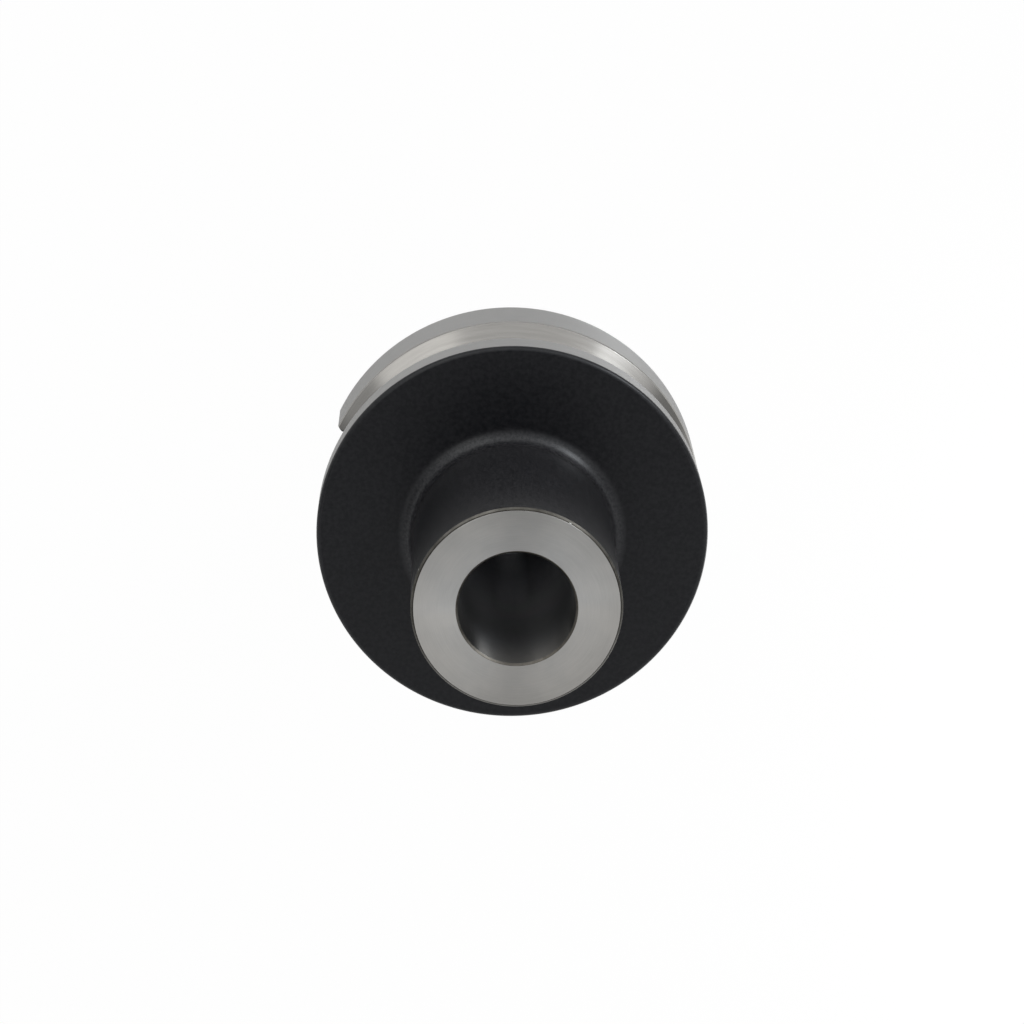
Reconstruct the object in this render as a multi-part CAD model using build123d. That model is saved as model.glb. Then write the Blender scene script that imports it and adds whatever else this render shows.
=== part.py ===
from build123d import *
import os
from math import atan, cos, radians, sin, sqrt, tan

# Morse taper adapter: a size 40 steep taper shank with a gripper flange, and a
# round nose that holds a No. 2 Morse taper socket. It is turned from one bar.
# Heights are measured along the axis from the gauge plane, up towards the nose.

# Steep taper shank
GAUGE_DIAMETER = 44.45
STEEP_TAPER = 7 / 24
SHANK_LENGTH = 65.4
SHANK_END_CHAMFER = 0.8

# Neck between the taper and the flange
NECK_DIAMETER = 43.0
NECK_SHOULDER = 0.5
NECK_CHAMFER = 0.5

# Gripper flange
FLANGE_DIAMETER = 63.0
FLANGE_GAP = 2.0
REAR_LAND = 9.6
FRONT_LAND = 5.4
FLANGE_FRONT_RADIUS = 0.8
FLANGE_REAR_CHAMFER = 0.5
GROOVE_WIDTH = 10.0
GROOVE_DEPTH = 5.0
GROOVE_ANGLE = 60.0
GROOVE_EDGE_CHAMFER = 0.2

# Two drive slots across the flange
DRIVE_SLOT_WIDTH = 16.1
DRIVE_SLOT_FLOOR = 22.6
DRIVE_SLOT_LENGTH = 19.0
DRIVE_SLOT_CORNER = 3.0
DRIVE_SLOT_CHAMFER = 0.3

# Nose
PROJECTION = 60.0
NOSE_DIAMETER = 32.0
NOSE_CHAMFER = 0.45
NOSE_FILLET = 2.5

# Morse socket
SOCKET_DIAMETER = 17.78
MORSE_TAPER = 1 / 20.02
SOCKET_RELIEF_DIAMETER = 14.9
SOCKET_DEPTH = 67.0
SOCKET_CHAMFER = 0.32

# Drift slot, placed by its distance from the socket mouth
DRIFT_SLOT_WIDTH = 6.3
DRIFT_SLOT_LENGTH = 22.0
DRIFT_SLOT_START = 62.0
DRIFT_SLOT_RIM = 0.6
DRIFT_SLOT_RIM_ANGLE = 45.0

# Hole for the pull stud, with depths from the small end of the shank. Its tap drill
# breaks into the drift slot, and runs in past the slot's round end.
COUNTERSINK_DIAMETER = 19.0
COUNTERSINK_ANGLE = 60.0
PILOT_DIAMETER = 17.0
PILOT_DEPTH = 9.0
THREAD_DIAMETER = 16.0
THREAD_LENGTH = 30.0
TAP_DRILL_DIAMETER = 14.0
TAP_DRILL_RUN_IN = 1.6

DRILL_POINT_ANGLE = 118.0
CUTTER_OVERRUN = 1.0


def turned(outline, chamfers=(), fillets=()):
    """Solid of revolution about Z, from a closed outline of radius and height pairs.

    chamfers and fillets pair a size with the outline's corners that get it.
    """
    with BuildPart() as solid:
        with BuildSketch(Plane.XZ) as section:
            with BuildLine():
                Polyline(outline, close=True)
            make_face()
            for size, corners in chamfers:
                chamfer(vertices_at(section, corners), size)
            for size, corners in fillets:
                fillet(vertices_at(section, corners), size)
        revolve(axis=Axis.Z)
    return solid.part


def vertices_at(section, corners):
    """The section's vertices at the given corners, each a radius and a height."""
    return [section.vertices().sort_by_distance((*corner, 0))[0] for corner in corners]


def drill_point(diameter):
    """Height of the cone that a drill leaves at the bottom of its hole."""
    return diameter / 2 / tan(radians(DRILL_POINT_ANGLE / 2))


# Heights that the dimensions give
shank_end = -SHANK_LENGTH
flange_rear = FLANGE_GAP
groove_rear = flange_rear + REAR_LAND
groove_front = groove_rear + GROOVE_WIDTH
flange_front = groove_front + FRONT_LAND
groove_slope = GROOVE_DEPTH * tan(radians(GROOVE_ANGLE / 2))
drift_slot_top = PROJECTION - DRIFT_SLOT_START
drift_slot_bottom = drift_slot_top - DRIFT_SLOT_LENGTH


def blank():
    """Outside of the adapter, with the taper shank, neck, flange, V-groove and nose."""
    neck_foot = (NECK_DIAMETER / 2, flange_rear)
    rear_rim = (FLANGE_DIAMETER / 2, flange_rear)
    groove_rear_edge = (FLANGE_DIAMETER / 2, groove_rear)
    groove_front_edge = (FLANGE_DIAMETER / 2, groove_front)
    groove_floor_radius = FLANGE_DIAMETER / 2 - GROOVE_DEPTH
    front_rim = (FLANGE_DIAMETER / 2, flange_front)
    nose_foot = (NOSE_DIAMETER / 2, flange_front)
    nose_rim = (NOSE_DIAMETER / 2, PROJECTION)
    shank_rim = ((GAUGE_DIAMETER - STEEP_TAPER * SHANK_LENGTH) / 2, shank_end)
    return turned(
        [
            (0, shank_end),
            shank_rim,
            (GAUGE_DIAMETER / 2, 0),
            (NECK_DIAMETER / 2, NECK_SHOULDER),
            neck_foot,
            rear_rim,
            groove_rear_edge,
            (groove_floor_radius, groove_rear + groove_slope),
            (groove_floor_radius, groove_front - groove_slope),
            groove_front_edge,
            front_rim,
            nose_foot,
            nose_rim,
            (0, PROJECTION),
        ],
        chamfers=[
            (SHANK_END_CHAMFER, [shank_rim]),
            (NECK_CHAMFER, [neck_foot]),
            (FLANGE_REAR_CHAMFER, [rear_rim]),
            (GROOVE_EDGE_CHAMFER, [groove_rear_edge, groove_front_edge]),
            (NOSE_CHAMFER, [nose_rim]),
        ],
        fillets=[
            (FLANGE_FRONT_RADIUS, [front_rim]),
            (NOSE_FILLET, [nose_foot]),
        ],
    )


def morse_socket():
    """Space of the socket: mouth chamfer, Morse taper, straight relief and drill point."""
    mouth_radius = SOCKET_DIAMETER / 2
    relief_radius = SOCKET_RELIEF_DIAMETER / 2
    chamfer_radius = mouth_radius + SOCKET_CHAMFER
    chamfer_foot = mouth_radius - SOCKET_CHAMFER * MORSE_TAPER / 2
    taper_end = PROJECTION - (SOCKET_DIAMETER - SOCKET_RELIEF_DIAMETER) / MORSE_TAPER
    bottom = PROJECTION - SOCKET_DEPTH
    return turned(
        [
            (0, PROJECTION + CUTTER_OVERRUN),
            (chamfer_radius, PROJECTION + CUTTER_OVERRUN),
            (chamfer_radius, PROJECTION),
            (chamfer_foot, PROJECTION - SOCKET_CHAMFER),
            (relief_radius, taper_end),
            (relief_radius, bottom),
            (0, bottom - drill_point(SOCKET_RELIEF_DIAMETER)),
        ]
    )


def pull_stud_hole():
    """Space of the stud's hole: countersink, pilot, thread at its major diameter, tap drill."""
    countersink_depth = (COUNTERSINK_DIAMETER - PILOT_DIAMETER) / 2 / tan(radians(COUNTERSINK_ANGLE / 2))
    thread_start = shank_end + PILOT_DEPTH
    thread_lead_in = (PILOT_DIAMETER - THREAD_DIAMETER) / 2
    thread_end = thread_start + THREAD_LENGTH
    bottom = drift_slot_bottom + TAP_DRILL_RUN_IN
    return turned(
        [
            (0, shank_end - CUTTER_OVERRUN),
            (COUNTERSINK_DIAMETER / 2, shank_end - CUTTER_OVERRUN),
            (COUNTERSINK_DIAMETER / 2, shank_end),
            (PILOT_DIAMETER / 2, shank_end + countersink_depth),
            (PILOT_DIAMETER / 2, thread_start),
            (THREAD_DIAMETER / 2, thread_start + thread_lead_in),
            (THREAD_DIAMETER / 2, thread_end),
            (TAP_DRILL_DIAMETER / 2, thread_end),
            (TAP_DRILL_DIAMETER / 2, bottom),
            (0, bottom + drill_point(TAP_DRILL_DIAMETER)),
        ]
    )


def drift_slot():
    """Space of the drift slot, which crosses the shank along Y, with a rim that widens outwards.

    The rim is cut square to the taper's surface, so it is deepest at the slot's round ends.
    Its cutter starts narrower inside the slot and reaches the slot's width at the rim's depth.
    """
    middle = (drift_slot_top + drift_slot_bottom) / 2
    surface = (GAUGE_DIAMETER + STEEP_TAPER * middle) / 2
    lean = atan(STEEP_TAPER / 2)
    taper_surface = Plane(origin=(0, -surface, middle), x_dir=(1, 0, 0), z_dir=(0, -cos(lean), -sin(lean)))
    rim_start = DRIFT_SLOT_RIM + CUTTER_OVERRUN
    narrowing = 2 * CUTTER_OVERRUN * tan(radians(DRIFT_SLOT_RIM_ANGLE))
    with BuildPart() as cutter:
        with BuildSketch(Plane.XZ):
            with Locations((0, middle)):
                SlotOverall(DRIFT_SLOT_LENGTH, DRIFT_SLOT_WIDTH, rotation=90)
        extrude(amount=FLANGE_DIAMETER / 2 + CUTTER_OVERRUN, both=True)
        with BuildSketch(taper_surface.offset(-rim_start)):
            SlotOverall(DRIFT_SLOT_LENGTH - narrowing, DRIFT_SLOT_WIDTH - narrowing, rotation=90)
        extrude(amount=rim_start + CUTTER_OVERRUN, taper=-DRIFT_SLOT_RIM_ANGLE)
        mirror(about=Plane.XZ)
    return cutter.part


def drive_slot():
    """Space of the drive slot on +X, open at the rear of the flange, with chamfered sides."""
    rear = flange_rear - CUTTER_OVERRUN
    front = flange_rear + DRIVE_SLOT_LENGTH
    reach = FLANGE_DIAMETER / 2 + CUTTER_OVERRUN
    half_width = DRIVE_SLOT_WIDTH / 2
    rim = sqrt((FLANGE_DIAMETER / 2) ** 2 - half_width**2) - DRIVE_SLOT_CHAMFER
    half_mouth = half_width + reach - rim
    with BuildPart() as cutter:
        with BuildSketch(Plane.YZ.offset(DRIVE_SLOT_FLOOR)) as outline:
            with Locations((0, (rear + front) / 2)):
                Rectangle(DRIVE_SLOT_WIDTH, front - rear)
            fillet(outline.vertices().group_by(Axis.Y)[-1], DRIVE_SLOT_CORNER)
        extrude(amount=reach - DRIVE_SLOT_FLOOR)
        with BuildSketch(Plane.XY.offset(rear)):
            with BuildLine():
                Polyline(
                    (rim, -half_width),
                    (rim, half_width),
                    (reach, half_mouth),
                    (reach, -half_mouth),
                    close=True,
                )
            make_face()
        extrude(amount=(groove_rear + groove_front) / 2 - rear)
    return cutter.part


adapter_body = blank() - morse_socket() - pull_stud_hole() - drift_slot()
adapter_body -= drive_slot()
adapter_body -= mirror(drive_slot(), about=Plane.YZ)

os.makedirs("parts", exist_ok=True)
export_step(adapter_body, "parts/adapter_body.step")
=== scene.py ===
import bmesh
import bpy
import numpy as np
from mathutils import Matrix, Vector


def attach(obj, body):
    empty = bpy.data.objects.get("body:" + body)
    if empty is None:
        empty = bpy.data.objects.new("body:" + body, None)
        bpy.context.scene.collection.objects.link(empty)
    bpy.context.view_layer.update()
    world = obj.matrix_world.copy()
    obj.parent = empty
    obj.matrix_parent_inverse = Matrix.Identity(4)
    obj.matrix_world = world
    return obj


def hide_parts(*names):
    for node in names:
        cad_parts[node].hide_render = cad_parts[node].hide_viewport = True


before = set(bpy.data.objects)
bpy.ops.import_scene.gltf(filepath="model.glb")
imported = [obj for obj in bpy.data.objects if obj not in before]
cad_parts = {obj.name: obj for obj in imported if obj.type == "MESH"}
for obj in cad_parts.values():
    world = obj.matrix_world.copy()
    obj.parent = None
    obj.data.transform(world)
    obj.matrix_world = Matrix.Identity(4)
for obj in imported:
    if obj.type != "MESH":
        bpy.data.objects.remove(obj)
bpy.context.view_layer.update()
scene = bpy.context.scene


# Camera. It looks down on the nose face from about half a metre, a little to the side of
# the flange, so that the V-groove shows above the face and one drive slot at the left.
# The picture's right is turned by SLOT_TURN from the X axis, which crosses the drive slots.

# Lengths are in millimetres all through, and MM turns them into metres.
MM = 0.001
CAMERA_DISTANCE = 499.04
CAMERA_ASIDE = (0.475, -4.787)
CAMERA_TILT = 0.3289
CAMERA_ROLL = 0.0629
SLOT_TURN = np.radians(13.5)

camera_data = bpy.data.cameras.new("camera")
camera_data.sensor_width = 36
camera_data.lens = 103.6
camera_data.clip_start = 0.02
camera_data.clip_end = 30
camera = bpy.data.objects.new("camera", camera_data)
scene.collection.objects.link(camera)
tilted = Matrix.Rotation(CAMERA_ROLL, 4, "Z") @ Matrix.Rotation(CAMERA_TILT, 4, "X")
set_back = Matrix.Translation(Vector((*CAMERA_ASIDE, CAMERA_DISTANCE)) * MM)
camera.matrix_world = Matrix.Rotation(SLOT_TURN, 4, "Z") @ tilted.inverted() @ set_back
scene.camera = camera


# Adapter body. One bar of alloy steel, turned with its flange, V-groove and nose, milled
# for the drive slots and the drift slot, hardened and blackened all over. The taper, the
# flange rim, the V-groove, the nose face and the socket are then ground bright.

# Steep taper shank. Heights count from the gauge plane, up towards the nose.
GAUGE_RADIUS = 22.225
TAPER = 7 / 48
TAPER_LEAN = np.arctan(TAPER)
SHANK_MIDDLE = -32.4
SHANK_END = -65.4
SHANK_CHAMFER = 0.8

# Neck and flange
NECK_RADIUS = 21.5
NECK_SHOULDER = 0.5
NECK_CHAMFER = 0.5
FLANGE_RADIUS = 31.5
FLANGE_REAR = 2
FLANGE_FRONT = 27
FLANGE_CHAMFER = 0.5
FLANGE_ROUND = 0.8

# V-groove round the flange
GROOVE_REAR = 11.6
GROOVE_FRONT = 21.6
GROOVE_FLOOR = 26.5
GROOVE_LEAN = np.radians(30)
GROOVE_CHAMFER = 0.2

# Nose
NOSE_RADIUS = 16
NOSE_FACE = 60
NOSE_CHAMFER = 0.45
NOSE_FILLET = 2.5

# Tapered socket in the nose, and the straight relief bore below it
SOCKET_MOUTH = 8.89
SOCKET_TAPER = 1 / 40.04
SOCKET_CHAMFER = 0.32
RELIEF_RADIUS = 7.45
RELIEF_END = -7

# Hole for the pull stud in the small end
COUNTERSINK_RADIUS = 9.5
COUNTERSINK_LEAN = np.radians(30)
PILOT_RADIUS = 8.5
PILOT_END = -56.4
THREAD_RADIUS = 8
THREAD_END = -26.4
DRILL_RADIUS = 7
DRILL_END = -22.4
DRILL_POINT = 1 / np.tan(np.radians(59))

# Drive slots across the flange, with the bevels of their rims and of the groove's wall. The
# wall's bevel is cut from the first to the second of its radii.
SLOT_HALF_WIDTH = 8.05
SLOT_FLOOR = 22.6
SLOT_START = 1
SLOT_FRONT = 21
SLOT_CORNER = 3
RIM_BEVEL = 0.9
RIM_REACH = 32.5
WALL_BEVEL = 0.35
WALL_BEVEL_RADII = (31.9, 26.7)

# Drift slot through the shank, with its flared rim
DRIFT_HALF_WIDTH = 3.15
DRIFT_HALF_LENGTH = 11
DRIFT_MIDDLE = -13
FLARE_DEPTH = 0.6

CUTTER_OVERRUN = 1
CUTTER_REACH = 34
SEGMENTS = 240
GROUND, GROOVE, FACED, BLACK, CHAMFER, RIM, SOCKET, HOLE, BARE = range(9)

groove_slope = (FLANGE_RADIUS - GROOVE_FLOOR) * np.tan(GROOVE_LEAN)
groove_edge = FLANGE_RADIUS - GROOVE_CHAMFER * np.cos(GROOVE_LEAN)
groove_edge_rise = GROOVE_CHAMFER * np.sin(GROOVE_LEAN)
relief_top = NOSE_FACE - (SOCKET_MOUTH - RELIEF_RADIUS) / SOCKET_TAPER
shank_end_radius = GAUGE_RADIUS + TAPER * SHANK_END
shank_edge = shank_end_radius + SHANK_CHAMFER * np.sin(TAPER_LEAN)
shank_edge_rise = SHANK_CHAMFER * np.cos(TAPER_LEAN)
countersink_rise = (COUNTERSINK_RADIUS - PILOT_RADIUS) / np.tan(COUNTERSINK_LEAN)
# Radius and height of each corner of the section, how far it is rounded, the number of
# points on its arc, and the finish of the side that leads to it.
SECTION = [
    (0, RELIEF_END - RELIEF_RADIUS * DRILL_POINT, 0, 1, SOCKET),
    (RELIEF_RADIUS, RELIEF_END, 0, 1, SOCKET),
    (RELIEF_RADIUS, relief_top, 0, 1, SOCKET),
    (SOCKET_MOUTH - SOCKET_CHAMFER * SOCKET_TAPER, NOSE_FACE - SOCKET_CHAMFER, 0.05, 3, SOCKET),
    (SOCKET_MOUTH + SOCKET_CHAMFER, NOSE_FACE, 0.05, 3, RIM),
    (NOSE_RADIUS - NOSE_CHAMFER, NOSE_FACE, 0.08, 4, FACED),
    (NOSE_RADIUS, NOSE_FACE - NOSE_CHAMFER, 0.08, 4, CHAMFER),
    (NOSE_RADIUS, FLANGE_FRONT, NOSE_FILLET, 12, BLACK),
    (FLANGE_RADIUS, FLANGE_FRONT, FLANGE_ROUND, 9, BLACK),
    (FLANGE_RADIUS, GROOVE_FRONT + GROOVE_CHAMFER, 0.08, 4, GROUND),
    (groove_edge, GROOVE_FRONT - groove_edge_rise, 0.08, 4, GROOVE),
    (GROOVE_FLOOR, GROOVE_FRONT - groove_slope, 0.25, 4, GROOVE),
    (GROOVE_FLOOR, GROOVE_REAR + groove_slope, 0.25, 4, GROOVE),
    (groove_edge, GROOVE_REAR + groove_edge_rise, 0.08, 4, GROOVE),
    (FLANGE_RADIUS, GROOVE_REAR - GROOVE_CHAMFER, 0.08, 4, GROOVE),
    (FLANGE_RADIUS, FLANGE_REAR + FLANGE_CHAMFER, 0.12, 4, GROUND),
    (FLANGE_RADIUS - FLANGE_CHAMFER, FLANGE_REAR, 0.12, 4, GROUND),
    (NECK_RADIUS + NECK_CHAMFER, FLANGE_REAR, 0.2, 3, GROUND),
    (NECK_RADIUS, FLANGE_REAR - NECK_CHAMFER, 0.3, 3, BLACK),
    (NECK_RADIUS, NECK_SHOULDER, 0.3, 3, BLACK),
    (GAUGE_RADIUS, 0, 0.1, 4, BLACK),
    (GAUGE_RADIUS + TAPER * SHANK_MIDDLE, SHANK_MIDDLE, 0, 1, GROUND),
    (shank_edge, SHANK_END + shank_edge_rise, 0.2, 4, GROUND),
    (shank_end_radius - SHANK_CHAMFER, SHANK_END, 0.2, 4, GROUND),
    (COUNTERSINK_RADIUS, SHANK_END, 0.12, 3, GROUND),
    (PILOT_RADIUS, SHANK_END + countersink_rise, 0.12, 3, HOLE),
    (PILOT_RADIUS, PILOT_END, 0, 1, HOLE),
    (THREAD_RADIUS, PILOT_END + PILOT_RADIUS - THREAD_RADIUS, 0, 1, HOLE),
    (THREAD_RADIUS, THREAD_END, 0, 1, HOLE),
    (DRILL_RADIUS, THREAD_END, 0, 1, HOLE),
    (DRILL_RADIUS, DRILL_END, 0, 1, HOLE),
    (0, DRILL_END + DRILL_RADIUS * DRILL_POINT, 0, 1, HOLE),
]


def rounded_line(corners):
    """Points and finishes along the section, with an arc in place of each rounded corner.

    The arc starts before the corner by rounding times the tangent of half the turn, leaves
    in the direction of the side, and turns evenly through the corner's angle. A point on it
    is the centre minus the start's normal, turned by the part of the angle done so far.
    """
    corners = np.array(corners, float)
    points, rounding, counts = corners[:, :2], corners[:, 2], corners[:, 3].astype(int)
    sides = np.diff(points, axis=0)
    sides /= np.linalg.norm(sides, axis=1)[:, None]
    entering = np.vstack([sides[:1], sides])
    leaving = np.vstack([sides, sides[-1:]])
    cross = entering[:, 0] * leaving[:, 1] - entering[:, 1] * leaving[:, 0]
    turn = np.arctan2(cross, (entering * leaving).sum(1))
    start = points - entering * (rounding * np.tan(np.abs(turn) / 2))[:, None]
    normal = np.stack([-entering[:, 1], entering[:, 0]], 1) * (np.sign(turn) * rounding)[:, None]
    at = np.repeat(np.arange(len(points)), counts)
    first = np.repeat(np.cumsum(counts) - counts, counts)
    done = (np.arange(len(at)) - first) / np.maximum(counts[at] - 1, 1)
    angle = turn[at] * done
    turned = [
        normal[at, 0] * np.cos(angle) - normal[at, 1] * np.sin(angle),
        normal[at, 0] * np.sin(angle) + normal[at, 1] * np.cos(angle),
    ]
    return (start + normal)[at] - np.stack(turned, 1), corners[at, 4].astype(int)


def new_piece(name, points, faces, finish=0):
    """An object at the origin whose mesh has the given points, in millimetres, and faces.

    finish is the number of the material of all faces, or of each.
    """
    mesh = bpy.data.meshes.new(name)
    mesh.from_pydata((np.asarray(points) * MM).tolist(), [], faces)
    mesh.polygons.foreach_set("material_index", np.full(len(faces), finish, np.int32))
    mesh.update()
    piece = bpy.data.objects.new(name, mesh)
    scene.collection.objects.link(piece)
    return piece


def ring_quads(rows, count):
    """Faces between closed rings of points, each of which has as many points as count."""
    step = np.arange(count)
    after = (step + 1) % count
    row = np.arange(rows - 1)[:, None] * count
    quads = np.stack([row + step, row + after, row + count + after, row + count + step], -1)
    return quads.reshape(-1, 4).tolist()


def closed_by_poles(rows, count):
    """Ring faces, and triangles from the first and the last ring to the two points after them."""
    step = np.arange(count)
    after = (step + 1) % count
    last = (rows - 1) * count
    pole = np.full(count, rows * count)
    low = np.stack([pole, after, step], -1).tolist()
    high = np.stack([pole + 1, last + step, last + after], -1).tolist()
    return low + ring_quads(rows, count) + high


def closed_by_caps(rows, count):
    """Ring faces, and a flat face on the first and on the last ring."""
    step = np.arange(count)
    caps = [step[::-1].tolist(), ((rows - 1) * count + step).tolist()]
    return caps + ring_quads(rows, count)


def revolved(name, corners):
    """The section carried round Z: radius times the cosine and sine of the angle, at its height.

    The first and the last corner are on the axis, and are the poles that close the surface.
    """
    line, finish = rounded_line(corners)
    angle = np.arange(SEGMENTS) * 2 * np.pi / SEGMENTS
    radius, height = line[1:-1, 0:1], line[1:-1, 1:2]
    rings = np.stack([radius * np.cos(angle), radius * np.sin(angle), height + 0 * angle], -1)
    poles = [(0, 0, line[0, 1]), (0, 0, line[-1, 1])]
    points = np.vstack([rings.reshape(-1, 3), poles])
    return new_piece(name, points, closed_by_poles(len(radius), SEGMENTS), np.repeat(finish[1:], SEGMENTS))


def prism(name, outline, axis, start, end, grow=0):
    """A closed outline of two coordinates carried along the third axis from start to end.

    grow is added to the outline at the end, and widens it there.
    """
    others = [n for n in range(3) if n != axis]
    points = np.zeros((2, len(outline), 3))
    points[0][:, others] = outline
    points[1][:, others] = outline + grow
    points[0, :, axis] = start
    points[1, :, axis] = end
    return new_piece(name, points.reshape(-1, 3), closed_by_caps(2, len(outline)), BLACK)


def outward_normals(piece):
    """Turns the faces of a closed piece outwards."""
    shell = bmesh.new()
    shell.from_mesh(piece.data)
    bmesh.ops.recalc_face_normals(shell, faces=shell.faces)
    shell.to_mesh(piece.data)
    shell.free()


def drive_slot_outline():
    """The drive slot seen along its depth: straight sides, and quarter circles in front."""
    quarter = np.linspace(0, np.pi / 2, 8)
    arc = np.stack([np.cos(quarter), np.sin(quarter)], 1) * SLOT_CORNER
    arc += (SLOT_HALF_WIDTH - SLOT_CORNER, SLOT_FRONT - SLOT_CORNER)
    right = np.vstack([(SLOT_HALF_WIDTH, SLOT_START), arc])
    return np.vstack([right, right[::-1] * (-1, 1)])


def rim_outline(way):
    """The 45 degree bevel at the mouth of a drive slot, seen from above.

    It starts inside the rim, by the bevel before the point where the slot's side meets the
    flange, and widens on each side by as much as it goes outwards.
    """
    start = np.sqrt(FLANGE_RADIUS**2 - SLOT_HALF_WIDTH**2) - RIM_BEVEL
    mouth = SLOT_HALF_WIDTH + RIM_REACH - start
    corners = [(start, -SLOT_HALF_WIDTH), (start, SLOT_HALF_WIDTH), (RIM_REACH, mouth), (RIM_REACH, -mouth)]
    return np.array(corners) * (way, 1)


def straight_back(first, second):
    """Unit direction in the face that first is square to, away from the face of second."""
    back = first * (first @ second) - second
    return back / np.linalg.norm(back)


def wall_bevel(name, way, hand):
    """A cutter for the edge between the groove's lower wall and a side of a drive slot.

    Its section goes back from the edge by the bevel along both faces, and out past the edge
    in the sum of the faces' normals. It runs straight between two points of the edge.
    """
    side = np.array([0.0, -hand, 0.0])
    corners = []
    for radius in WALL_BEVEL_RADII:
        across = np.sqrt(radius**2 - SLOT_HALF_WIDTH**2)
        outward = np.array([way * across, hand * SLOT_HALF_WIDTH, 0]) / radius
        height = GROOVE_REAR + (FLANGE_RADIUS - radius) * np.tan(GROOVE_LEAN)
        edge = outward * radius + (0, 0, height)
        wall = outward * np.sin(GROOVE_LEAN) + (0, 0, np.cos(GROOVE_LEAN))
        on_wall = edge + straight_back(wall, side) * WALL_BEVEL
        on_side = edge + straight_back(side, wall) * WALL_BEVEL
        corners += [on_wall, on_side, on_side + wall + side, on_wall + wall + side]
    return new_piece(name, corners, closed_by_caps(2, 4), BLACK)


def slot_outline(half_width, half_length, points=24):
    """A round-ended slot along the second coordinate: two half circles joined by its sides.

    Returns its points and their outward directions.
    """
    angle = np.linspace(0, np.pi, points)
    ends = np.concatenate([angle, angle + np.pi])
    outward = np.stack([np.cos(ends), np.sin(ends)], 1)
    shift = np.where(np.arange(2 * points) < points, 1, -1) * (half_length - half_width)
    return outward * half_width + np.stack([0 * shift, shift], 1), outward


def drift_flare(name, way):
    """The 45 degree rim of the drift slot on one side, square to the taper's surface.

    It is narrower than the slot where it starts, as wide as the slot at the flare's depth,
    and grows on each side by as much as it rises, until it is outside the surface.
    """
    outline, outward = slot_outline(DRIFT_HALF_WIDTH - CUTTER_OVERRUN, DRIFT_HALF_LENGTH - CUTTER_OVERRUN)
    rise = FLARE_DEPTH + 2 * CUTTER_OVERRUN
    start = -FLARE_DEPTH - CUTTER_OVERRUN
    flare = prism(name, outline, 1, start, start + rise, grow=outward * rise)
    surface = GAUGE_RADIUS + TAPER * DRIFT_MIDDLE
    spot = Matrix.Translation(Vector((0, way * surface, DRIFT_MIDDLE)) * MM)
    lean = Matrix.Rotation(-TAPER_LEAN * way, 4, "X")
    flip = Matrix.Rotation(0 if way > 0 else np.pi, 4, "Z")
    flare.data.transform(spot @ lean @ flip)
    return flare


# Three small nicks: one in the rim of the socket and two in the chamfer round the nose.
# Each gives its turn from the picture's right in degrees, its radius and height, and how
# far it reaches round the axis, outwards and upwards.
NICKS = [
    (120, 9.08, 59.9, 0.24, 0.16, 0.30),
    (56, 15.76, 59.95, 0.36, 0.16, 0.16),
    (153.5, 15.98, 59.45, 0.24, 0.14, 0.20),
]


def pebble(name, turn, radius, height, around, outwards, upwards):
    """A ball squeezed to three reaches, turned to face outwards and set at a radius and height.

    Its points are the products of the cosines and sines of two angles times the reaches.
    """
    rows, count = 5, 10
    angle = np.arange(count) * 2 * np.pi / count
    rising = np.linspace(-np.pi / 2, np.pi / 2, rows + 2)[1:-1, None]
    level = np.cos(rising)
    rings = np.stack([np.cos(angle) * level, np.sin(angle) * level, np.sin(rising) + 0 * angle], -1)
    ball = np.vstack([rings.reshape(-1, 3), (0, 0, -1), (0, 0, 1)]) * (outwards, around, upwards)
    out = (np.cos(turn), np.sin(turn), 0)
    side = (-np.sin(turn), np.cos(turn), 0)
    up = (0, 0, 1)
    points = (ball + (radius, 0, height)) @ np.array([out, side, up])
    return new_piece(name, points, closed_by_poles(rows, count), BARE)


body = revolved("adapter", SECTION)
outward_normals(body)

cutters = []
groove_middle = (GROOVE_REAR + GROOVE_FRONT) / 2
for way in (1, -1):
    cutters.append(prism("cutter_slot", drive_slot_outline(), 0, way * SLOT_FLOOR, way * CUTTER_REACH))
    cutters.append(prism("cutter_rim", rim_outline(way), 2, SLOT_START, groove_middle))
    for hand in (1, -1):
        cutters.append(wall_bevel("cutter_wall", way, hand))

outline, _ = slot_outline(DRIFT_HALF_WIDTH, DRIFT_HALF_LENGTH)
cutters.append(prism("cutter_drift", outline + (0, DRIFT_MIDDLE), 1, -CUTTER_REACH, CUTTER_REACH))
for way in (-1, 1):
    cutters.append(drift_flare("cutter_flare", way))

for turn, *spot in NICKS:
    cutters.append(pebble("cutter_nick", np.radians(turn) + SLOT_TURN, *spot))

for cutter in cutters:
    outward_normals(cutter)
    cut = body.modifiers.new(cutter.name, "BOOLEAN")
    cut.object = cutter
    cut.operation = "DIFFERENCE"
    cut.solver = "EXACT"


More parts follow.
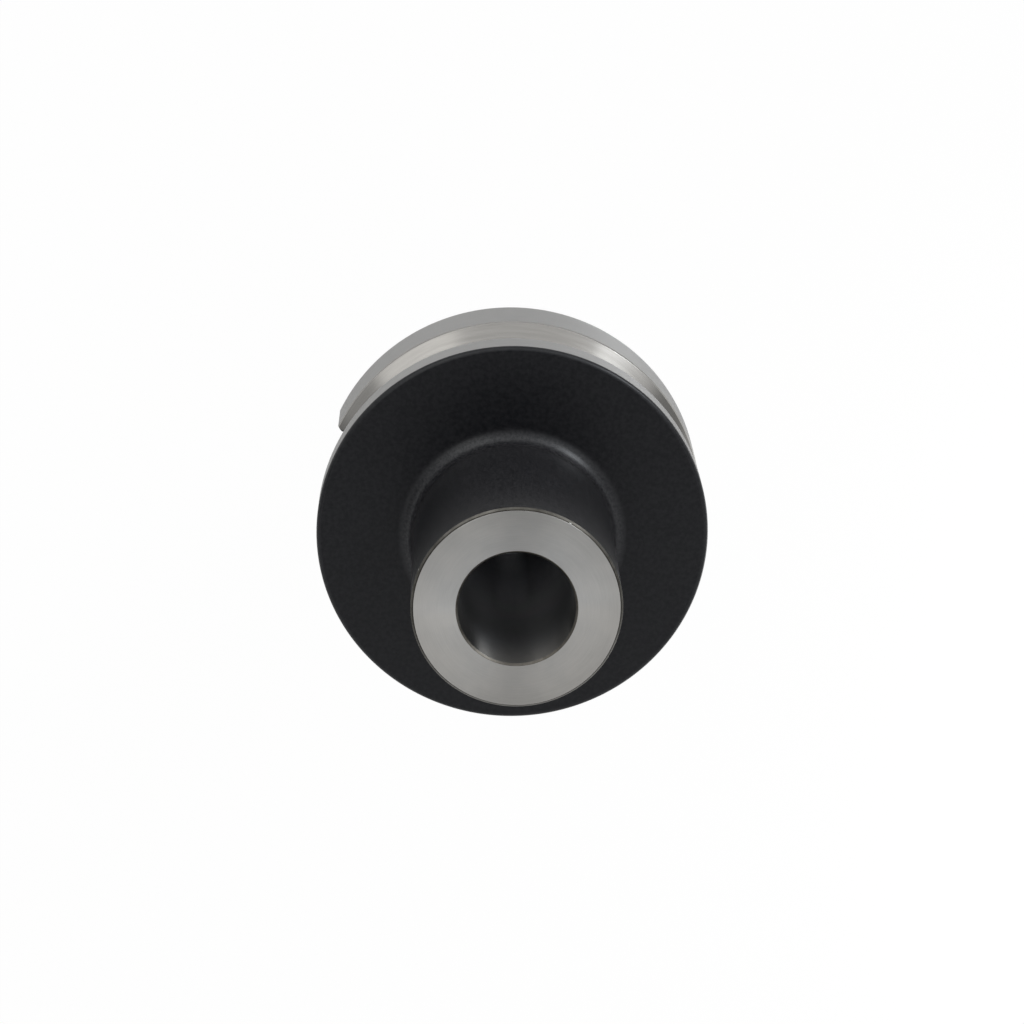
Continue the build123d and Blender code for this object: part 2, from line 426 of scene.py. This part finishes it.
class Wire:
    """A shader socket. Arithmetic on it adds Math nodes, and node() adds any other node."""

    def __init__(self, tree, socket=None):
        self.tree = tree
        self.socket = socket

    def node(self, kind, settings=None, inputs=None, output=0):
        """The chosen output of a new node, whose inputs are constants or other wires."""
        made = self.tree.nodes.new(kind)
        for name, value in (settings or {}).items():
            setattr(made, name, value)
        for name, value in (inputs or {}).items():
            if isinstance(value, Wire):
                self.tree.links.new(value.socket, made.inputs[name])
            else:
                made.inputs[name].default_value = value
        return Wire(self.tree, made.outputs[output])

    def math(self, operation, *values):
        """The result of one operation on numbers or wires."""
        return self.node("ShaderNodeMath", {"operation": operation}, dict(enumerate(values)))

    def __add__(self, other):
        return self.math("ADD", self, other)

    __radd__ = __add__

    def __sub__(self, other):
        return self.math("SUBTRACT", self, other)

    def __rsub__(self, other):
        return self.math("SUBTRACT", other, self)

    def __mul__(self, other):
        return self.math("MULTIPLY", self, other)

    __rmul__ = __mul__

    def __truediv__(self, other):
        return self.math("DIVIDE", self, other)

    def __rtruediv__(self, other):
        return self.math("DIVIDE", other, self)

    def __pow__(self, other):
        return self.math("POWER", self, other)

    def split(self):
        """The three coordinates of this vector."""
        first = self.node("ShaderNodeSeparateXYZ", None, {0: self})
        return [Wire(self.tree, coordinate) for coordinate in first.socket.node.outputs]

    def part(self, low, high):
        """0 below low and 1 above high, with a smooth step between. high may be the lower."""
        inputs = {"Value": self, "From Min": low, "From Max": high}
        return self.node("ShaderNodeMapRange", {"interpolation_type": "SMOOTHSTEP"}, inputs)

    def mixed(self, first, second):
        """The first colour where this is 0, and the second where it is 1."""
        first, second = ((*c, 1) if isinstance(c, tuple) else c for c in (first, second))
        return self.node("ShaderNodeMix", {"data_type": "RGBA"}, {0: self, 6: first, 7: second}, output=2)

    def noise(self, scale, detail=3.0, roughness=0.5):
        """Soft noise at this place, mostly from 0.3 to 0.7, with about scale spots in a unit."""
        inputs = {"Vector": self, "Scale": scale, "Detail": detail, "Roughness": roughness}
        return self.node("ShaderNodeTexNoise", None, inputs)

    def bumped(self, strength, distance):
        """The normal of a surface that this is the height of."""
        inputs = {"Height": self, "Strength": strength, "Distance": distance}
        return self.node("ShaderNodeBump", None, inputs)

    def end(self, kind):
        """Ends the tree with an output node that shows this shader."""
        output = self.tree.nodes.new(kind)
        self.tree.links.new(self.socket, output.inputs[0])


def empty_tree(owner):
    """The start of the shader of a new material or world."""
    owner.use_nodes = True
    owner.node_tree.nodes.clear()
    return Wire(owner.node_tree)


def metal(name, shine, paint):
    """A material whose constant inputs are those of shine, and whose others paint returns."""
    material = bpy.data.materials.new(name)
    place = empty_tree(material).node("ShaderNodeTexCoord", output=3)
    x, y, z = place.split()
    radius = (x * x + y * y) ** 0.5
    inputs = {**shine, **paint(place, x, y, z / MM, radius / MM)}
    place.node("ShaderNodeBsdfPrincipled", None, inputs).end("ShaderNodeOutputMaterial")
    return material


def rings(place, x, y, height, radius, lead, fine=9.0):
    """Machining lines that run round the axis: noise that changes quickly with radius and
    height and slowly with direction."""
    around = 3.0
    inputs = {0: x / radius / MM * around, 1: y / radius / MM * around, 2: (height + radius * lead) * fine}
    return place.node("ShaderNodeCombineXYZ", None, inputs).noise(1.0, roughness=0.6)


def round_axis(place):
    """Tangent round the axis, so that the shine spreads across the machining lines."""
    return place.node("ShaderNodeTangent", {"direction_type": "RADIAL", "axis": "Z"})


def towards(x, y, turn):
    """1 in a direction across the axis, 0 at right angles to it and -1 opposite. The turn
    counts in degrees from the picture's right."""
    angle = np.radians(turn) + SLOT_TURN
    return (x * np.cos(angle) + y * np.sin(angle)) / (x * x + y * y) ** 0.5


def ground_paint(place, x, y, height, radius):
    """Fine grinding lines on the taper, the flange rim and the small end."""
    lines = rings(place, x, y, height, radius, 0.37)
    tone = place.noise(60.0)
    return {
        "Base Color": lines.part(0.3, 0.7).mixed((0.335, 0.337, 0.340), (0.380, 0.380, 0.380)),
        "Roughness": 0.34 + 0.10 * lines + 0.06 * tone,
        "Normal": lines.bumped(0.25, 0.00002),
        "Tangent": round_axis(place),
    }


def groove_paint(place, x, y, height, radius):
    """The smoother and warmer grinding of the V-groove."""
    lines = rings(place, x, y, height, radius, 0.37)
    tone = place.noise(60.0)
    return {
        "Base Color": lines.part(0.3, 0.7).mixed((0.350, 0.345, 0.334), (0.382, 0.377, 0.366)),
        "Roughness": 0.11 + 0.05 * lines + 0.05 * tone,
        "Normal": lines.bumped(0.1, 0.00001),
        "Tangent": round_axis(place),
    }


def faced_paint(place, x, y, height, radius):
    """Turning lines on the nose face, paler streaks of painted highlight at the lower left and the left, and
    a warmer lower half.
    """
    lines = rings(place, x, y, height, radius, 1.0)
    tone = place.noise(250.0)
    below = towards(x, y, 270).part(-0.12, 0.12)
    grain = lines.part(0.3, 0.7) * 0.32 + tone.part(0.3, 0.7) * 0.25
    # Painted highlight: the base colour is paler towards the lower left and in a narrow wedge at the left.
    painted_streaks = towards(x, y, 215).part(0.4, 1) * 0.22 + towards(x, y, 182).part(0.982, 0.996) * 0.12
    shade = grain + painted_streaks + radius.part(15.6, 12) * 0.28
    cool = shade.mixed((0.390, 0.396, 0.398), (0.492, 0.499, 0.502))
    warm = shade.mixed((0.405, 0.399, 0.386), (0.510, 0.503, 0.489))
    return {
        "Base Color": (below * 0.45 + radius.part(9, 16) * 0.4 + tone * 0.8 - 0.25).mixed(cool, warm),
        "Roughness": 0.27 + 0.08 * lines + 0.05 * tone,
        "Normal": lines.bumped(0.35, 0.00002),
        "Tangent": round_axis(place),
    }


def black_paint(place, x, y, height, radius):
    """Black oxide, mottled on the flange and in the slots, and finer and paler on the nose, whose upper part
    is darkened by painted shade except towards the picture's top.
    """
    lines = rings(place, x, y, height, radius, 0.6, fine=5.0)
    mottle = place.noise(1400.0, roughness=0.7)
    grain = place.noise(2200.0, detail=2.0, roughness=0.7)
    on_nose = radius.part(18.3, 17.0)
    # Painted shade: the upper nose is darkened everywhere except towards the picture's top.
    painted_shade = towards(x, y, 80).part(0.85, 0.3) * height.part(31, 38)
    flange = mottle.part(0.3, 0.7).mixed((0.0008, 0.0009, 0.0020), (0.0070, 0.0070, 0.0086))
    shade = grain.part(0.3, 0.7) * (1 - 0.7 * painted_shade)
    nose = shade.mixed((0.0030, 0.0032, 0.0046), (0.0215, 0.0216, 0.0238))
    rough = 0.26 + 0.13 * mottle + 0.05 * lines
    relief = lines * 0.3 + mottle * (1 - on_nose) + grain * on_nose * 0.6
    return {
        "Base Color": on_nose.mixed(flange, nose),
        "Roughness": rough + (0.285 + 0.03 * grain - rough) * on_nose,
        "Normal": relief.bumped(0.5, 0.000026),
    }


def chamfer_paint(place, x, y, height, radius):
    """The chamfer round the nose face, worn through the oxide at its outer edge.

    The worn edge is painted brighter at the picture's bottom and in one spot at its upper left, as painted
    highlight.
    """
    mottle = place.noise(500.0, detail=4.0, roughness=0.7)
    spots = mottle.part(0.3, 0.7)
    oxide = spots.mixed((0.016, 0.015, 0.013), (0.030, 0.028, 0.024))
    dull = spots.mixed((0.046, 0.044, 0.039), (0.086, 0.083, 0.075))
    bright = spots.mixed((0.098, 0.095, 0.087), (0.165, 0.160, 0.150))
    # Painted highlight: the worn edge is brighter towards the picture's bottom and in a spot at its upper
    # left.
    painted_highlight = towards(x, y, 275).part(0.1, 0.8) + towards(x, y, 112).part(0.9, 0.98) * 0.7
    return {
        "Base Color": radius.part(15.66, 15.80).mixed(oxide, painted_highlight.mixed(dull, bright)),
        "Roughness": 0.34 + 0.12 * mottle,
        "Normal": mottle.bumped(0.1, 0.00002),
    }


def rim_paint(place, x, y, height, radius):
    """The dull chamfer at the mouth of the socket."""
    mottle = place.noise(500.0, detail=4.0, roughness=0.7)
    return {
        "Base Color": mottle.part(0.3, 0.7).mixed((0.066, 0.062, 0.055), (0.114, 0.108, 0.097)),
        "Roughness": 0.32 + 0.12 * mottle,
        "Normal": mottle.bumped(0.1, 0.00002),
    }


def socket_paint(place, x, y, height, radius):
    """The ground wall of the socket, with painted highlights as brighter patches near its mouth. Deep
    inside it is paler and less metallic, partly as painted light, with a painted highlight as a bright band
    at the picture's bottom."""
    lines = rings(place, x, y, height, radius, 0.37)
    mottle = place.noise(900.0, roughness=0.7)
    deep = height.part(50, 26)
    near = height.part(50, 60)
    # Painted highlights: brighter patches and narrow glints near the mouth, by direction round the axis.
    painted_glints = towards(x, y, 233).part(0.990, 0.998) * 0.17 + towards(x, y, 296).part(0.95, 0.99) * 0.24
    painted_sheen = towards(x, y, 278).part(0.50, 0.66) * 0.52 + painted_glints
    shine = near * painted_sheen + (1 - near) * 0.40 + lines * 0.15 + mottle * 0.2 - 0.14
    bright = near.mixed((0.196, 0.202, 0.212), (0.240, 0.237, 0.230))
    wall = shine.mixed((0.052, 0.053, 0.055), bright)
    # Painted highlight: a bright band deep inside at the picture's bottom, on a deep wall painted paler.
    painted_band = towards(x, y, 265).part(0.93, 1.0) * height.part(46, 26)
    pale = lines.part(0.3, 0.7).mixed((0.400, 0.408, 0.438), (0.470, 0.478, 0.510))
    return {
        "Base Color": deep.mixed(wall, painted_band.mixed(pale, (0.740, 0.750, 0.790))),
        "Metallic": 1 - 0.75 * deep,
        "Roughness": 0.40 + 0.10 * lines,
        "Normal": lines.bumped(0.1, 0.00001),
        "Tangent": round_axis(place),
    }


def hole_paint(place, x, y, height, radius):
    """The dull steel of the drilled and tapped hole."""
    mottle = place.noise(400.0, detail=4.0, roughness=0.7)
    return {
        "Base Color": mottle.part(0.3, 0.7).mixed((0.040, 0.040, 0.042), (0.075, 0.074, 0.074)),
        "Roughness": 0.32 + 0.14 * mottle,
        "Normal": mottle.bumped(0.1, 0.00002),
    }


def bare_paint(place, x, y, height, radius):
    """Bare steel in the nicks."""
    mottle = place.noise(900.0)
    return {
        "Base Color": mottle.part(0.3, 0.7).mixed((0.240, 0.237, 0.232), (0.340, 0.336, 0.330)),
        "Roughness": 0.30 + 0.15 * mottle,
    }


ACROSS = {"Metallic": 1.0, "Anisotropic Rotation": 0.25}
OXIDE = {"Metallic": 0.0, "Specular IOR Level": 0.34, "Specular Tint": (0.93, 0.96, 1.0, 1)}
ground = metal("ground_steel", {**ACROSS, "Anisotropic": 0.8}, ground_paint)
groove = metal("ground_groove", {**ACROSS, "Anisotropic": 0.5}, groove_paint)
faced = metal("faced_steel", {**ACROSS, "Anisotropic": 0.8}, faced_paint)
black = metal("black_oxide", OXIDE, black_paint)
worn_and_highlit = metal("worn_chamfer_painted_highlight", {"Metallic": 0.8}, chamfer_paint)
rim = metal("socket_rim", {"Metallic": 0.9}, rim_paint)
socket = metal("ground_socket", {"Anisotropic": 0.93, "Anisotropic Rotation": 0.25}, socket_paint)
hole = metal("drilled_steel", {"Metallic": 0.8}, hole_paint)
bare = metal("nicked_steel", {"Metallic": 1.0}, bare_paint)
for material in (ground, groove, faced, black, worn_and_highlit, rim, socket, hole, bare):
    body.data.materials.append(material)


def apply_modifiers(piece):
    """Gives the piece the mesh that its modifiers make, and takes them off."""
    shape = bpy.data.meshes.new_from_object(piece.evaluated_get(bpy.context.evaluated_depsgraph_get()))
    shape.name = piece.name
    piece.modifiers.clear()
    piece.data = shape


def smooth_shading(piece):
    """Shades the piece smoothly over all edges but the sharp ones."""
    piece.data.shade_smooth()
    piece.data.set_sharp_from_angle(angle=np.radians(31))


apply_modifiers(body)
for cutter in cutters:
    bpy.data.objects.remove(cutter)
smooth_shading(body)
even = body.modifiers.new("even_normals", "WEIGHTED_NORMAL")
even.weight = 100
even.keep_sharp = True
apply_modifiers(body)
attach(body, "root")
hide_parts("adapter_body")


# Thread for the pull stud, M16 x 2, tapped into the hole at the small end. Its ridge is a
# piece of its own on the wall of the hole. Its crest is cut off by the 14 mm tap drill, and
# its start by the hole's lead-in.
THREAD_PITCH = 2
THREAD_STEPS = 72
RIDGE_START = -57.4
RIDGE_END = -25.3
RIDGE_FOOT = THREAD_RADIUS + 0.03
RIDGE_CREST = DRILL_RADIUS + 0.01
LEAD_IN_SUNK = 0.02


def thread_ridge(name):
    """A 60 degree ridge carried up a right-handed helix.

    The section's half width grows from the crest to the wall by the tangent of 30 degrees,
    and is seven sixteenths of the pitch at the thread's radius. Each section is turned by
    the angle, raised by the pitch for each turn, and kept out of the 45 degree cone of the
    lead-in.
    """
    flank = np.linspace(RIDGE_FOOT, RIDGE_CREST, 9)
    half = THREAD_PITCH * 7 / 16 - (THREAD_RADIUS - flank) * np.tan(np.radians(30))
    radius = np.concatenate([flank, flank[::-1]])
    height = np.concatenate([-half, half[::-1]])
    turns = (RIDGE_END - RIDGE_START) / THREAD_PITCH
    turn = np.linspace(0, turns, int(turns * THREAD_STEPS))[:, None]
    z = RIDGE_START + THREAD_PITCH * turn + height
    cone = PILOT_RADIUS - (z - PILOT_END) + LEAD_IN_SUNK
    r = np.maximum(radius, cone)
    angle = 2 * np.pi * turn
    points = np.stack([r * np.cos(angle), r * np.sin(angle), z], -1)
    return new_piece(name, points.reshape(-1, 3), closed_by_caps(*z.shape))


thread = thread_ridge("pull_stud_thread")
outward_normals(thread)
smooth_shading(thread)
thread.data.materials.append(hole)
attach(thread, "root")


# Light. A plain white studio. Tall soft lamps stand at the right and at the left of the
# camera in a pale room, which is darker round the camera and in the gaps beside the lamps.
world = bpy.data.worlds.new("studio")
scene.world = world
studio = empty_tree(world)
direction = studio.node("ShaderNodeTexCoord", output=0)
turn_back = {"Vector": direction, "Angle": -SLOT_TURN - np.pi / 2}
across, up, rising = studio.node("ShaderNodeVectorRotate", {"rotation_type": "Z_AXIS"}, turn_back).split()
# In degrees. turn counts from the picture's right, and jumps from 270 to -90 at its bottom.
turn = up.math("ARCTAN2", up, across) * (180 / np.pi) + 90
rise = rising.math("ARCSINE", rising) * (180 / np.pi)


def window(left, right, bottom, top):
    """1 inside a part of the room and 0 outside. Each edge is a pair of angles in degrees,
    outer and inner, with a smooth step between them. Turns count from the picture's right."""
    return turn.part(*right) * turn.part(*left) * rise.part(*bottom) * rise.part(*top)


def nearness(turn_at, rise_at, edge, middle):
    """1 within middle degrees of a direction and 0 beyond edge degrees."""
    angle, height = np.radians(turn_at) + SLOT_TURN, np.radians(rise_at)
    way = (np.cos(angle) * np.cos(height), np.sin(angle) * np.cos(height), np.sin(height))
    dot = studio.node("ShaderNodeVectorMath", {"operation": "DOT_PRODUCT"}, {0: direction, 1: way}, output=1)
    return dot.part(np.cos(np.radians(edge)), np.cos(np.radians(middle)))


def lit(colour, strength):
    """Light of one colour from the directions in which strength isn't 0."""
    return studio.node("ShaderNodeBackground", None, {"Color": (*colour, 1), "Strength": strength})


def both(first, second):
    """The light of two shaders together."""
    return studio.node("ShaderNodeAddShader", None, {0: first, 1: second})


# The pale room. It is darker round the camera, towards the picture's bottom and in the gaps
# at its right and left, and lighter at its lower corners and low down at its top.
overhead = 1 - 0.88 * nearness(90, 85, 29, 12)
front = 1 - 0.35 * window((302, 285), (238, 255), (8, 25), (68, 58))
right_gap = 1 - 0.62 * window((24, 13), (-14, 4), (20, 32), (58, 48))
left_gap = 1 - window((200, 184), (145, 152), (16, 28), (58, 48)) * (0.35 + 0.35 * turn.part(164, 172))
sides = 1 + 0.06 * rise.part(25, 42) * (nearness(-32, 50, 42, 18) + nearness(212, 50, 42, 18))
back_wall = window((152, 128), (40, 60), (-4, 4), (44, 34)) * 0.5
room = lit((1, 0.99, 0.975), 0.81 * overhead * front * right_gap * left_gap * sides + back_wall)

# The lamp at the right is cool and brightest low down, and the one at the left is warm.
# Each has a glow low down beside it, and another lamp above it.
right_lamp = window((47, 45.2), (25.5, 42), (-4, 4), (62, 50)) * (0.9 + 6.5 * rise.part(36, 24))
right_glow = window((75, 50), (15, 37), (-4, 4), (44, 30)) * 0.9
upper_right = window((50, 40), (5, 18), (50, 60), (80, 70)) * 0.9
left_lamp = window((150, 143), (105, 113), (24, 34), (68, 58)) * 0.43
left_glow = window((132, 115), (94, 111), (-4, 6), (44, 34)) * 0.8
upper_left = window((160, 148), (105, 120), (50, 60), (80, 70)) * 0.9
cool_lamps = lit((0.97, 0.99, 1), right_lamp + right_glow + upper_right)
warm_lamps = lit((1, 0.978, 0.93), left_lamp + left_glow + upper_left)

# The camera sees plain white behind the adapter instead of the room.
camera_ray = studio.node("ShaderNodeLightPath")
reflected = both(room, both(cool_lamps, warm_lamps))
seen = studio.node("ShaderNodeMixShader", None, {0: camera_ray, 1: reflected, 2: lit((1, 1, 1), 1.0)})
seen.end("ShaderNodeOutputWorld")

# A small lamp at the lower right of the picture shines down on the table.
LAMP_DISTANCE = 200
LAMP_HEIGHT = 60
LAMP_TURN = SLOT_TURN - 0.5
table_lamp_data = bpy.data.lights.new("table_lamp", "AREA")
table_lamp_data.size = 0.15
table_lamp_data.energy = 0.18
table_lamp = bpy.data.objects.new("table_lamp", table_lamp_data)
scene.collection.objects.link(table_lamp)
lamp_at = (LAMP_DISTANCE * np.cos(LAMP_TURN), LAMP_DISTANCE * np.sin(LAMP_TURN), SHANK_END + LAMP_HEIGHT)
table_lamp.location = Vector(lamp_at) * MM


# Floor. A plain white table top that the adapter stands on. The camera sees it as white,
# and the steel reflects it nearly as a matt surface in the light of the room.
FLOOR_REACH = 3000
corners = np.array([(-1, -1), (1, -1), (1, 1), (-1, 1)]) * FLOOR_REACH
floor = new_piece("floor", np.column_stack([corners, np.full(4, SHANK_END)]), [(0, 1, 2, 3)])
material = bpy.data.materials.new("floor")
table = empty_tree(material)
camera_ray = table.node("ShaderNodeLightPath")
mirror_ray = table.node("ShaderNodeLightPath", output=3)
matt = table.node("ShaderNodeBsdfDiffuse", None, {"Color": (0.8, 0.8, 0.8, 1)})
glow = table.node("ShaderNodeEmission", None, {"Color": (1, 1, 1, 1), "Strength": 1.0})
glow_share = camera_ray * 0.97 + mirror_ray * 0.05
table.node("ShaderNodeMixShader", None, {0: glow_share, 1: matt, 2: glow}).end("ShaderNodeOutputMaterial")
floor.data.materials.append(material)

scene.view_settings.view_transform = "Standard"
